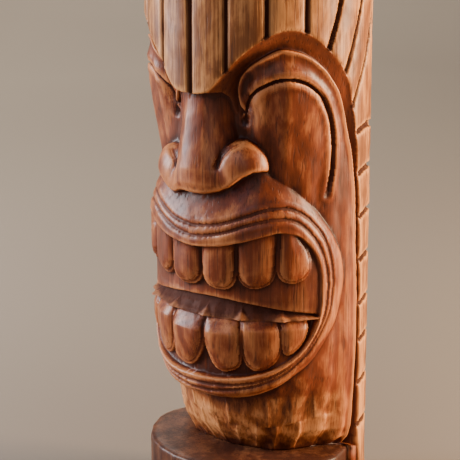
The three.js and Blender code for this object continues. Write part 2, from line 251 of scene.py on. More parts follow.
def hair_cuts():
    """V-tool lines, long in the hair, fanned behind the brow and short on the mane.

    Each is [points, half width, depth], with the points in degrees round the log and millimetres of height."""
    top = CROWN + 20
    cuts = [
        [[(0, 271), (0, top)], 1.15, 2.4],
        [[(20, 284), (20, top)], 1.1, 2.3],
        [[(40, 303.5), (40.3, top)], 1.1, 2.3],
        [[(60, 306.5), (60.2, top)], 1.15, 2.3],
        [[(73.2, 296), (80, 320), (83, 345), (84, top)], 1.25, 2.4],
        [[(84.8, 281.5), (92, 299), (98, 316), (103, 342), (105, top)], 1.15, 2.2],
        [[(91.3, 260), (97, 271), (106, 286), (117, 311), (124, 342), (127, top)], 1.1, 2.1],
    ]
    starts = [
        (97, 244.6), (100.2, 219.3), (102.4, 193), (104, 166.2), (105.2, 139.4), (105.8, 116.6),
        (105.8, 89.6), (105.8, 62.6),
    ]
    for start, z in starts:
        cuts.append([[(start, z), (start + 14, z + 1.2), (start + 34, z - 2.4)], 1.9, 2.6])
    return cuts


def rounded_max(a, b, blend):
    """The larger of two surfaces with the corner between them filled over about blend."""
    h = np.clip(0.5 + 0.5 * (a - b) / blend, 0, 1)
    return mix(b, a, h) + blend * h * (1 - h)


def nose(x, z, ground, drop, swell):
    """The face with the nose on it: a wedge from between the brows, a broad tip and a wing.

    drop is how far the wing and the foot of the nose hang, swell how far the wing stands out."""
    z = z + drop * ease(z, 276, 250)
    crest = by_height(NOSE_RIDGE, z)
    flat = np.interp(z, [215, 228, 250, 272], [9, 8, 7, 5.5])
    side = np.clip(x - flat, 0, None)
    fall = np.interp(z, [213, 225, 238, 256, 272], [0.16, 0.2, 0.38, 0.44, 0.34])
    wedge = crest - 0.012 * np.minimum(x, flat) ** 2 - fall * side - 0.008 * side**2
    reach = np.interp(z, [225, 240, 248, 252, 261, 268, 280], [30, 31, 31.5, 28, 24, 21, 20])
    wedge = mix(ground, wedge, ease(reach - x, -1.2, 2.4) * (z < 276))
    middle_x, middle_z = 30.5, 230.5
    across = (x - middle_x) / np.where(x < middle_x, 19.5, 17)
    spread = across**2 + ((z - middle_z) / 16.8) ** 2
    wing = 54.5 + swell * np.sqrt(np.clip(1 - spread, 0, 1))
    wing = np.where(spread < 1, wing, 0)
    above = ease(z, 226, 233)
    body = rounded_max(wedge, wing, mix(3.0, 0.6, above))
    crease = away(flowing(NOSE_CREASE), x, z, 8)
    body = body - 1.5 * ridge(crease, 1.5) * ease(z, 228.5, 235)
    foot = np.interp(x, *straight(NOSE_FOOT).T)
    under = ease(z - foot, -0.8, 3.6)
    rounded = body - 2.2 * (1 - dome(z - foot, 7)) * (z > foot)
    return np.maximum(ground, mix(ground, rounded, under * (x < 49)))


def tooth_rise(outlines, x, z, ground, crowns, roll, fuller):
    """Teeth standing on the ground inside their outlines, each with its own crown radius.

    fuller swells every outline by so many millimetres, until neighbours meet in a narrow cut."""
    rise = ground
    for outline, crown in zip(outlines, crowns):
        d = inset(flowing(outline + outline[:1], 3)[:-1], x, z, 10) + fuller
        swell = 0.36 * dome(d, 2.6) + 0.64 * dome(d, roll)
        rise = np.maximum(rise, mix(ground - 0.5, crown, swell) * (d > 0))
    return rise


def inset_all(outlines, x, z):
    """Distance inside the nearest of several outlines, negative between them."""
    depths = [inset(flowing(outline + outline[:1], 3)[:-1], x, z, 10) for outline in outlines]
    return np.maximum.reduce(depths)


def mouth(degrees, z):
    """The hollow of the mouth with its teeth, and painted shade on the shelf behind the lower row and on the
    right of its back wall.
    """
    wide = np.abs(degrees)
    lean = np.where(z > MOUTH_MIDDLE, 2.2, 3.6) * np.clip(1 - wide / 70, 0, 1)
    wide = np.abs(degrees - lean)
    x = wide * MM_PER_DEGREE
    back = np.interp(wide, [0, 20, 35, 50, 62, 72], [54.5, 55, 56.3, 59.3, 61.8, 63])
    wall_foot = np.interp(wide, [0, 15, 30, 44, 59, 70], [149.3, 148.6, 146.8, 144.5, 142, 140])
    chips = np.abs((degrees / 12 + 0.2) % 1 - 0.5)
    up_shelf = np.clip((z - SHELF_FOOT) / (wall_foot - SHELF_FOOT), 0, 1)
    shelf = mix(back + 1.6 + 2.4 * chips, back - 3.6, up_shelf)
    gum_line = np.interp(wide, [0, 30, 45, 60, 70], [101, 102, 107, 121, 150])
    gum = mix(59, back - 0.5, ease(z - gum_line, 0, 9))
    beside = np.min([np.abs(wide - gap) for gap in (0, 24.3, 48.5)], axis=0)
    peak = np.clip(1 - beside / 5 - np.clip(z - 139, 0, None) / 6, 0, 1) * (z > 137)
    shelf = shelf + 3.0 * peak
    low = np.where(z > SHELF_FOOT, shelf, np.minimum(gum, back - 0.5))
    ground = mix(low, back, ease(z - wall_foot, -0.2, 1.1))
    upper = tooth_rise(UPPER_TEETH, x, z, ground, (62, 62, 64), 9.5, 0.5)
    bevels = [4.6 * np.clip((z - start) / 9, 0, 1) for start in (130, 132.5, 133)]
    slope = mix(59.4, 61.6, ease(z, 108, 130))
    crowns = [slope - bevels[0], slope - bevels[1], slope + 1.2 - bevels[2]]
    lower = tooth_rise(LOWER_TEETH, x, z, ground, crowns, 8, 1.0)
    # Painted shade: the shelf darkens most at the foot of the back wall under the upper teeth, less towards
    # the open sides and on the chip peaks, and the right of the back wall beside the upper teeth darkens too.
    right_wall_painted_shade = 0.4 * ease(degrees, 34, 62) * ease(z, 137, 139)
    dark = ease(z, 137, 139) * ease(wall_foot + 1 - z, 0, 1.5) * (1 - 0.35 * ease(wide, 40, 70))
    dark = dark * (1 - 0.45 * ease(peak, 0, 0.3))
    dark = np.maximum(dark, right_wall_painted_shade * (inset_all(UPPER_TEETH, x, z) < 0))
    return np.where(z > 151, upper, lower), dark


def carved(degrees, z, left=False):
    """Radius of the carving and how dark its cuts are, at angles from the nose and heights.

    The carver's left wing of the nose hangs lower and stands out less than the right one."""
    x = np.abs(degrees) * MM_PER_DEGREE
    wide = np.abs(degrees)

    hairline = flowing(HAIRLINE)
    hair_outline = np.vstack([hairline, [(0, HAIRLINE[-1][1])]])
    in_face = away(hairline, x, z) * np.where(within(hair_outline, x, z), 1, -1)
    brow_edge = flowing(BROW_EDGE)
    brow_outline = np.vstack([brow_edge, [(0, HAIRLINE[-1][1])], straight(NOSE_ROOT)])
    in_brow = away(brow_edge, x, z) * np.where(within(brow_outline, x, z), 1, -1)

    # Hair and mane
    log = mix(HAIR_RADIUS, MANE_RADIUS, ease(wide, 80, 110))
    dark = np.zeros(x.shape)
    panel = np.full(x.shape, 9.0)
    cut = np.zeros(x.shape)
    for points, width, depth in hair_cuts():
        d = away(flowing(points, 5), x, z, 9)
        panel = np.minimum(panel, d)
        v = np.clip(1 - d / width, 0, 1)
        cut = np.maximum(cut, depth * v**0.8)
        dark = np.maximum(dark, ease(width + 0.1 - d, 0, 0.5))
    hair = log - 1.5 * (1 - dome(panel, 9)) * (wide < 112) - cut
    edge_roll = 0.7 * (1 - dome(-in_face, 2.5))
    hair = hair - edge_roll * (in_face < 0)

    # The face's ground, from the table
    heights = [row[0] for row in FACE_GROUND][::-1]
    table = np.array([row[1] for row in FACE_GROUND])[::-1]
    columns = np.array([np.interp(z, heights, table[:, k]) for k in range(len(FACE_ANGLES))])
    slot = np.clip(np.searchsorted(FACE_ANGLES, wide) - 1, 0, len(FACE_ANGLES) - 2)
    angles = np.array(FACE_ANGLES, float)
    t = np.clip((wide - angles[slot]) / (angles[slot + 1] - angles[slot]), 0, 1)
    pick = np.arange(x.size).reshape(x.shape)
    flat = columns.reshape(len(FACE_ANGLES), -1)
    face = mix(flat[slot, pick], flat[slot + 1, pick], t * t * (3 - 2 * t))

    # Brow ring: a sharp outer shoulder, a shallow flute, a crest beside the eye groove
    eye = away(flowing(EYE_GROOVE), x, z, 12)
    ring = 0.8 * ridge(in_brow - 1.2, 1.6) - 0.7 * ridge(in_brow - 6, 3) * ease(z, 230, 262)
    face = face + ring * (in_brow > -1) * ease(wide, 20, 27)
    face = face + 0.5 * ridge(eye - 3.2, 2.0)
    widen = mix(0.85, 1.45, ease(wide, 62, 78))
    taper = ease(z, 206, 222) * ease(wide, 26, 33)
    groove = np.clip(1 - eye / widen, 0, 1) * taper
    valley = ridge(away(flowing(EYE_GROOVE[:3]), x, z, 8), 2.6)
    face = face - 2.3 * groove**0.8 - 0.9 * valley
    dark = np.maximum(dark, 0.85 * ease(groove, 0.0, 0.5))

    # Nose
    if left:
        face = nose(x, z, face, 3.2 + 8.5 * ease(x, 6, 26), 8.6)
    else:
        face = nose(x, z, face, 3.2, 10.8)

    # Muzzle and lips
    muzzle = half_inset(flowing(MUZZLE_EDGE), x, z)
    opening = half_inset(flowing(MOUTH_EDGE), x, z)
    across = np.clip(-opening / np.maximum(muzzle - opening, 1e-3), 0, 1)
    lip = mix(by_height(LIP_CREST, z), by_height(LIP_OUTSIDE, z), across**1.15)
    outer_line = away(flowing(LIP_LINE_OUTER), x, z, 6)
    inner_line = away(flowing(LIP_LINE_INNER), x, z, 6)
    lip_line = np.minimum(outer_line, inner_line)
    lip = lip - 0.7 * np.clip(1 - lip_line / 0.9, 0, 1) + 0.25 * ridge(lip_line - 2.4, 1.2)
    round_off = dome(muzzle, mix(3.5, 6.0, ease(-z, -130, -100)))
    face = np.where(muzzle > 0, np.maximum(face, mix(face - 0.6, lip, round_off)), face)
    line_dark = ease(0.75 - lip_line, 0, 0.6)
    dark = np.maximum(dark, 0.34 * line_dark * (muzzle > 0) * (opening < 0))

    # Bevel down from the hair to the brow ring, with a sharp crease at its foot
    share = np.clip(in_face / np.maximum(in_face - in_brow, 1e-3), 0, 1)
    bevel = mix(log - 0.3, np.minimum(face, 64) - mix(2.4, 3.4, ease(wide, 84, 92)), share**0.75)
    # The band's darkening is painted shade in the deep corner at the nose root, and stain in the groove beside
    # the mane.
    root = ease(wide, 34, 24) * ease(z, 292, 280)
    dark = np.maximum(dark, mix(0.34 * root, 0.5, ease(wide, 86, 94)) * (in_face > 0.4) * (in_brow < 0.3))
    # rim marks a painted highlight along the face's side rims: the hollows mask is pulled below zero there, so
    # the colour turns paler.
    rim = ridge(in_brow - 1.6, 1.8) * (in_brow > 0) * ease(wide, 84, 92) * ease(z, 90, 130)
    band = (in_face > 0) & (in_brow < 0)
    full = np.where(in_face > 0, face, hair)
    step = np.where(band, bevel, full)
    crease = mix(bevel, face, ease(in_brow, 0, 1.1))
    radius = np.where((in_brow >= 0) & (in_brow < 1.1) & (in_face > 0), crease, step)
    masks = {"dark": dark, "in_face": in_face, "band": band * 1.0}
    masks.update(opening=opening, rim=rim, muzzle=muzzle)
    return radius, masks


def log_angles():
    """Angles on one side of the nose: fine over the face, wider round the back."""
    face = np.linspace(0, 106, 238)
    side = np.linspace(106, 134, 26)
    back = np.linspace(134, 180, 13)
    return np.concatenate([face, side[1:], back[1:]])


def log_heights():
    """Heights down the log: close together over the face."""
    neck_foot = FOOT_TOP + JOINT_GAP
    steps = [(CROWN - CROWN_ROUND, 345, 5), (345, 312, 1.2), (312, 86, 0.53), (86, neck_foot, 0.9)]
    heights = [np.linspace(a, b, max(2, round((a - b) / s)), endpoint=False) for a, b, s in steps]
    return np.concatenate(heights + [[neck_foot]])


def blurred(grid, cells):
    """The grid averaged over a window of cells, wrapping round the log."""
    out = grid
    for axis, n in enumerate(cells):
        mode = "edge" if axis == 0 else "wrap"
        for _ in range(2):
            pad = [(0, 0), (0, 0)]
            pad[axis] = (n, n)
            wide = np.pad(out, pad, mode=mode)
            total = np.cumsum(np.insert(wide, 0, 0, axis=axis), axis=axis)
            size = 2 * n + 1
            if axis == 0:
                out = (total[size:] - total[:-size]) / size
            else:
                out = (total[:, size:] - total[:, :-size]) / size
    return out


def hand_work(degrees, z):
    """The slight waviness that a gouge and a hand leave, in millimetres."""
    t = np.radians(degrees)
    broad = 0.16 * np.sin(9 * t + 0.021 * z) * np.sin(0.13 * z + 2.1 * np.sin(5 * t))
    middling = 0.10 * np.sin(23 * t + 0.3 + 0.05 * z) * np.sin(0.29 * z + 1.7 * np.sin(7 * t + 1))
    fine = 0.06 * np.sin(41 * t - 0.11 * z) * np.sin(0.51 * z + 3 * np.cos(11 * t))
    return broad + middling + fine


def neck_facets(degrees, z):
    """Flats left by a half-inch gouge pulled down the neck, laid out round its thicker upper end."""
    x = degrees * MM_PER_DEGREE * NECK_SHARE
    lean = x + 0.10 * (z - 70) + 3 * np.sin(0.05 * z + 0.02 * x)
    row = np.floor((z - 44 + 4 * np.sin(x / 17)) / 26)
    place = (lean + 5.3 * row) / 13.0
    across = place - np.floor(place) - 0.5
    tilt = np.sin(17.3 * np.floor(place) + 5.1 * row)
    return -0.55 * (1 - 4 * across**2) + 0.35 * tilt * across * 2


def grow(rings, masks):
    """A closed mesh through rings of points from the crown down, with a point closing each end."""
    n = len(rings[0])
    points = np.concatenate([np.concatenate(rings), [rings[0].mean(0), rings[-1].mean(0)]])
    row = np.arange(n)
    after = (row + 1) % n
    quads = []
    for k in range(len(rings) - 1):
        upper, lower = k * n, (k + 1) * n
        quads.append(np.stack([upper + row, lower + row, lower + after, upper + after], 1))
    high, low = len(points) - 2, len(points) - 1
    last = (len(rings) - 1) * n
    fans = np.concatenate([
        np.stack([np.full(n, high), row, after], 1),
        np.stack([np.full(n, low), last + after, last + row], 1),
    ])
    faces = np.concatenate([np.concatenate(quads).ravel(), fans.ravel()])
    sizes = np.concatenate([np.full(sum(len(q) for q in quads), 4), np.full(len(fans), 3)])
    mesh = bpy.data.meshes.new("carved")
    mesh.vertices.add(len(points))
    mesh.vertices.foreach_set("co", (points * MM).ravel())
    mesh.loops.add(len(faces))
    mesh.loops.foreach_set("vertex_index", faces)
    mesh.polygons.add(len(sizes))
    starts = np.concatenate([[0], np.cumsum(sizes)[:-1]])
    mesh.polygons.foreach_set("loop_start", starts)
    mesh.update(calc_edges=True)
    for name, values in masks.items():
        layer = mesh.attributes.new(name, "FLOAT", "POINT")
        ends = [np.median(values[0]), np.median(values[-1])]
        layer.data.foreach_set("value", np.concatenate([values.ravel(), ends]).astype(np.float32))
    return mesh


def mirrored(left, right):
    """The columns once round the log: the left side's in reverse order, then the right side's."""
    return np.concatenate([left[:, -2:0:-1], right], axis=1)


def carved_log_mesh():
    """The log from the crown down: flat top, rounded rim, carving, and the mane below the neck."""
    half = log_angles()
    z = log_heights()
    grid_angle, grid_z = np.meshgrid(half, z)
    left_radius, left_masks = carved(grid_angle, grid_z, left=True)
    right_radius, right_masks = carved(grid_angle, grid_z)
    radius = mirrored(left_radius, right_radius)
    cut = {name: mirrored(left_masks[name], right_masks[name]) for name in left_masks}
    dark, in_face, opening = cut["dark"], cut["in_face"], cut["opening"]
    angles = np.concatenate([-half[-2:0:-1], half])
    all_angle, all_z = np.meshgrid(angles, z)

    inside, mouth_painted_shade = mouth(all_angle, all_z)
    hollowed = mix(radius, np.minimum(inside, radius + 2), ease(opening, 0, 1.2))
    radius = np.where(opening > 0, hollowed, radius)
    radius = radius + hand_work(all_angle, all_z) * (1 - 0.6 * dark)
    neck = ease(-all_z, -90, -82) * ease(all_z, 50, 53)
    neck = neck * ease(in_face, -1, 4) * ease(-np.abs(all_angle), -98, -88)
    radius = radius + neck_facets(all_angle, all_z) * neck
    # Hollows mask: positive in hollows, negative on crests; in the colour it is partly stain pooled in the
    # hollows and wear on the crests, and partly painted shade in the hollows and painted highlight on the
    # crests.
    near = blurred(radius, (3, 3)) - radius
    far = blurred(radius, (16, 14)) - radius
    near = near * mix(1, 0.45, ease(cut["muzzle"], 0, 2))
    # The rim term paints a highlight along the face's side rims.
    hollow = np.clip(near / 0.9 + np.clip(far, 0, None) / 4 - 0.55 * cut["rim"], -1, 1)
    masks = {
        "dark": dark,
        "pale": 1 - ease(in_face, -0.4, 0.5),
        "bevel": cut["band"],
        "hollow": hollow,
        "neck": neck,
        # The mouth mask carries the painted shade of the mouth's shelf and back wall.
        "mouth": ease(opening, 0, 1.5) * mouth_painted_shade,
    }

    t = np.radians(angles)
    turn = np.stack([np.sin(t), -np.cos(t)], 1)

    def ring(r, height):
        return np.column_stack([turn * r[:, None], np.full(len(t), height)])

    rings, rows = [], []
    crown_cut = radius[0] - CROWN_ROUND
    for share in CROWN_SHARES:
        rings.append(ring(crown_cut * share, CROWN))
        rows.append(0)
    for step in np.linspace(math.pi / 2, 0.1, 7):
        height = CROWN - CROWN_ROUND * (1 - math.sin(step))
        rings.append(ring(crown_cut + CROWN_ROUND * math.cos(step), height))
        rows.append(0)
    for k, height in enumerate(z):
        rings.append(ring(radius[k], height))
        rows.append(k)

    # Below the neck only the mane stands: the ring's front runs straight across the joint
    joint_y = FOOT_BACK + JOINT_GAP
    edge = math.degrees(math.acos(-joint_y / MANE_RADIUS))
    front = np.abs(angles) < edge
    x_edge = math.sqrt(MANE_RADIUS**2 - joint_y**2)
    for height in np.linspace(FOOT_TOP + JOINT_GAP - 0.01, LOG_FOOT, SLAB_ROWS):
        level = np.full((1, len(angles)), height)
        mane = carved(np.abs(angles)[None], level)[0][0] + hand_work(angles, height)
        slab = ring(np.where(front, 0, mane), height)
        slab[front, 0] = angles[front] / edge * x_edge
        slab[front, 1] = joint_y
        rings.append(slab)
        rows.append(len(z) - 1)
    masks = {name: values[rows] for name, values in masks.items()}
    masks["hollow"][-SLAB_ROWS:] = 0
    for name, values in masks.items():
        values[: len(CROWN_SHARES)] = name == "pale"
    return grow(rings, masks)


def settled(obj):
    """The object with its modifiers worked into a plain mesh."""
    graph = bpy.context.evaluated_depsgraph_get()
    mesh = bpy.data.meshes.new_from_object(obj.evaluated_get(graph), depsgraph=graph)
    obj.modifiers.clear()
    obj.data = mesh
    return obj


def smooth(obj):
    for polygon in obj.data.polygons:
        polygon.use_smooth = True
    return obj


def thinned(obj, triangles):
    """The object's mesh reduced to about so many triangles, where it is flattest."""
    obj.data.calc_loop_triangles()
    thin = obj.modifiers.new("thin", "DECIMATE")
    thin.ratio = min(1, triangles / len(obj.data.loop_triangles))
    return settled(obj)


def add(name, mesh):
    obj = bpy.data.objects.new(name, mesh)
    bpy.context.scene.collection.objects.link(obj)
    return obj


def camera():
    """A long lens a little above the mask, 37 degrees round from the nose."""
    azimuth, elevation, distance = math.radians(37), math.radians(15), 1.15
    right = Vector((math.cos(azimuth), math.sin(azimuth), 0))
    back = Vector((
        math.sin(azimuth) * math.cos(elevation),
        -math.cos(azimuth) * math.cos(elevation),
        math.sin(elevation),
    ))
    aim = right * -0.0168 + Vector((0, 0, 0.177))
    data = bpy.data.cameras.new("camera")
    data.sensor_width = 36
    data.lens = 36 * distance / 0.276
    cam = add("camera", data)
    cam.location = aim + back * distance
    cam.rotation_mode = "QUATERNION"
    cam.rotation_quaternion = (-back).to_track_quat("-Z", "Y")
    bpy.context.scene.camera = cam


def area_light(name, azimuth, elevation, distance, size, watts, colour, aim=(0, 0, 0.2)):
    a, e = math.radians(azimuth), math.radians(elevation)
    away_from = Vector((math.sin(a) * math.cos(e), -math.cos(a) * math.cos(e), math.sin(e)))
    data = bpy.data.lights.new(name, "AREA")
    data.shape = "RECTANGLE"
    data.size, data.size_y = size
    data.energy = watts
    data.color = colour
    lamp = add(name, data)
    lamp.location = Vector(aim) + away_from * distance
    lamp.rotation_euler = (-away_from).to_track_quat("-Z", "Y").to_euler()
    return lamp


def studio():
    """Cool daylight from the left, a warm lamp on the right and a lamp over the backdrop."""
    area_light("cool_window", -60, 14, 1.1, (0.6, 0.6), 31, (0.90, 0.91, 0.96))
    area_light("cool_panel", 4, 32, 1.4, (0.5, 0.5), 3.0, (0.55, 0.70, 1.0))
    area_light("warm_lamp", 125, 12, 1.0, (0.4, 0.6), 48, (1.0, 0.74, 0.47))
    area_light("front_fill", 30, 12, 1.6, (0.6, 0.6), 3.0, (1.0, 0.86, 0.74))
    area_light("backdrop_lamp", 217, 80, 1.7, (1.4, 1.4), 26, (1.0, 0.96, 0.9), aim=(-1.45, 1.25, 0))
    world = bpy.data.worlds.new("room")
    bpy.context.scene.world = world
    world.use_nodes = True
    world.node_tree.nodes["Background"].inputs["Color"].default_value = (0.84, 0.78, 0.72, 1)
    world.node_tree.nodes["Background"].inputs["Strength"].default_value = 0.16


def object_place(tree):
    return tree.nodes.new("ShaderNodeTexCoord").outputs["Object"]


def wire(tree, source, target):
    tree.links.new(source, target)


def feed(tree, socket, value):
    """Sets a socket to a number or a colour, or wires another socket to it."""
    if isinstance(value, tuple):
        socket.default_value = (*value, 1)
    elif isinstance(value, (int, float)):
        socket.default_value = value
    else:
        wire(tree, value, socket)


def math_node(tree, operation, a, b=None, c=None, clamp=False):
    made = tree.nodes.new("ShaderNodeMath")
    made.operation = operation
    made.use_clamp = clamp
    for socket, value in zip(made.inputs, (a, b, c)):
        if value is not None:
            feed(tree, socket, value)
    return made.outputs[0]


def weighted(tree, a, share_a, b, share_b):
    """Two values added, each times its own share."""
    first = math_node(tree, "MULTIPLY", a, share_a)
    return math_node(tree, "ADD", first, math_node(tree, "MULTIPLY", b, share_b))


def ramp(tree, value, low, high, to_low=0.0, to_high=1.0, kind="LINEAR"):
    """value stretched so that low..high becomes to_low..to_high, clamped."""
    made = tree.nodes.new("ShaderNodeMapRange")
    made.clamp = True
    made.interpolation_type = kind
    for name, setting in (("From Min", low), ("From Max", high), ("To Min", to_low), ("To Max", to_high)):
        made.inputs[name].default_value = setting
    wire(tree, value, made.inputs["Value"])
    return made.outputs["Result"]


def blend_colours(tree, factor, a, b):
    made = tree.nodes.new("ShaderNodeMix")
    made.data_type = "RGBA"
    for slot, value in ((0, factor), (6, a), (7, b)):
        feed(tree, made.inputs[slot], value)
    return made.outputs[2]


def noise(tree, where, scale, stretch=(1, 1, 1), detail=2.0, roughness=0.5, distortion=0.0):
    mapping = tree.nodes.new("ShaderNodeMapping")
    mapping.inputs["Scale"].default_value = stretch
    tree.links.new(where, mapping.inputs["Vector"])
    made = tree.nodes.new("ShaderNodeTexNoise")
    tree.links.new(mapping.outputs[0], made.inputs["Vector"])
    settings = {"Scale": scale, "Detail": detail, "Roughness": roughness, "Distortion": distortion}
    for name, setting in settings.items():
        made.inputs[name].default_value = setting
    return made.outputs["Fac"]


def group(name, inputs, outputs):
    """A shader node group with named sockets; returns the tree and its two end nodes."""
    tree = bpy.data.node_groups.new(name, "ShaderNodeTree")
    for label, kind, value in inputs:
        socket = tree.interface.new_socket(label, in_out="INPUT", socket_type=kind)
        if value is not None:
            socket.default_value = value
    for label, kind in outputs:
        tree.interface.new_socket(label, in_out="OUTPUT", socket_type=kind)
    return tree, tree.nodes.new("NodeGroupInput"), tree.nodes.new("NodeGroupOutput")


FLOAT, COLOUR, VECTOR = "NodeSocketFloat", "NodeSocketColor", "NodeSocketVector"


def timber_grain_group():
    """Long fibres, open pores, growth rings and the blotches that stain leaves in timber."""
    tree, given, made = group(
        "timber_grain",
        [("Place", VECTOR, None), ("Pore Amount", FLOAT, 0.5)],
        [("Fibre", FLOAT), ("Pores", FLOAT), ("Rings", FLOAT), ("Blotch", FLOAT), ("Height", FLOAT)],
    )
    place = given.outputs["Place"]
    fine = noise(tree, place, 950, (1, 1, 0.022), 3, 0.65)
    broad = noise(tree, place, 260, (1, 1, 0.03), 3, 0.55)
    fibre = weighted(tree, fine, 0.5, broad, 0.5)
    dashes = noise(tree, place, 900, (1, 1, 0.06), 1, 0.4)
    pores = ramp(tree, dashes, 0.6, 0.7)
    pores = math_node(tree, "MULTIPLY", pores, given.outputs["Pore Amount"], clamp=True)

    # Growth rings lie round a pith a little off the centre
    pith = tree.nodes.new("ShaderNodeMapping")
    pith.inputs["Location"].default_value = (0.011, -0.007, 0)
    wire(tree, place, pith.inputs["Vector"])
    split = tree.nodes.new("ShaderNodeSeparateXYZ")
    wire(tree, pith.outputs[0], split.inputs[0])
    squares = [math_node(tree, "MULTIPLY", split.outputs[axis], split.outputs[axis]) for axis in "XY"]
    radius = math_node(tree, "SQRT", math_node(tree, "ADD", *squares))
    wander = noise(tree, place, 14, (1, 1, 0.35), 3, 0.5)
    radius = math_node(tree, "ADD", radius, math_node(tree, "MULTIPLY", wander, 0.012))
    turns = math_node(tree, "SINE", math_node(tree, "MULTIPLY", radius, 2 * math.pi / 0.0034))
    rings = ramp(tree, turns, -0.6, 1.0)
    rough = noise(tree, place, 55, (1, 1, 0.6), 5, 0.62, 0.4)
    large = noise(tree, place, 17, (1, 1, 0.7), 3, 0.5, 0.3)
    blotch = weighted(tree, rough, 0.55, large, 0.45)
    height = math_node(tree, "SUBTRACT", math_node(tree, "MULTIPLY", fibre, 0.35), pores)
    found = {"Fibre": fibre, "Pores": pores, "Rings": rings, "Blotch": blotch, "Height": height}
    for name, value in found.items():
        wire(tree, value, made.inputs[name])
    return tree


def timber_tone_group():
    """Colour and gloss of stained timber from its grain and its hollows mask, which darkens hollows and
    lightens crests, partly as pooled stain and wear and partly as painted shade and painted highlight.
    """
    tree, given, made = group(
        "timber_tone",
        [
            ("Light", COLOUR, None), ("Middle", COLOUR, None), ("Deep", COLOUR, None),
            ("Fibre", FLOAT, 0.5), ("Pores", FLOAT, 0), ("Rings", FLOAT, 0.5), ("Blotch", FLOAT, 0.5),
            ("Hollow", FLOAT, 0),
            ("Blotch Amount", FLOAT, 1), ("Hollow Amount", FLOAT, 1), ("Grain Amount", FLOAT, 1),
        ],
        [("Color", COLOUR), ("Roughness", FLOAT)],
    )
    get = given.outputs
    stain = ramp(tree, get["Blotch"], 0.34, 0.66, -0.5, 0.5)
    stain = math_node(tree, "MULTIPLY", stain, get["Blotch Amount"])
    grain = ramp(tree, get["Fibre"], 0.38, 0.62, -0.25, 0.25)
    grain = math_node(tree, "MULTIPLY", grain, get["Grain Amount"])
    rings = ramp(tree, get["Rings"], 0, 1, -0.1, 0.1)
    hollow = math_node(tree, "MULTIPLY", get["Hollow"], get["Hollow Amount"])
    figure = math_node(tree, "ADD", stain, grain)
    depth = math_node(tree, "ADD", figure, math_node(tree, "ADD", rings, hollow))
    lift = ramp(tree, depth, -0.55, 0.05)
    sink = ramp(tree, depth, 0.0, 0.75)
    colour = blend_colours(tree, lift, get["Light"], get["Middle"])
    colour = blend_colours(tree, sink, colour, get["Deep"])
    colour = blend_colours(tree, math_node(tree, "MULTIPLY", get["Pores"], 0.6), colour, PORE_STAIN)
    wire(tree, colour, made.inputs["Color"])
    gloss = ramp(tree, get["Blotch"], 0.3, 0.7, 0.36, 0.5)
    gloss = math_node(tree, "ADD", gloss, math_node(tree, "MULTIPLY", get["Pores"], 0.2))
    wire(tree, gloss, made.inputs["Roughness"])
    return tree


def new_material(name):
    material = bpy.data.materials.new(name)
    material.use_nodes = True
    tree = material.node_tree
    return material, tree, tree.nodes["Principled BSDF"]


def mask(tree, name):
    made = tree.nodes.new("ShaderNodeAttribute")
    made.attribute_name = name
    return made.outputs["Fac"]


def place_group(tree, kind, **values):
    made = tree.nodes.new("ShaderNodeGroup")
    made.node_tree = kind
    for name, value in values.items():
        feed(tree, made.inputs[name.replace("_", " ")], value)
    return made


def grain_parts(tree, grain, pore_amount):
    """The grain group placed on the piece: its height, and the outputs that the tone group takes."""
    made = place_group(tree, grain, Place=object_place(tree), Pore_Amount=pore_amount)
    parts = {name: made.outputs[name] for name in ("Fibre", "Pores", "Rings", "Blotch")}
    return made.outputs["Height"], parts


def add_bump(tree, surface, height, distance, strength=1.0):
    bump = tree.nodes.new("ShaderNodeBump")
    bump.inputs["Distance"].default_value = distance
    bump.inputs["Strength"].default_value = strength
    wire(tree, height, bump.inputs["Height"])
    wire(tree, bump.outputs[0], surface.inputs["Normal"])


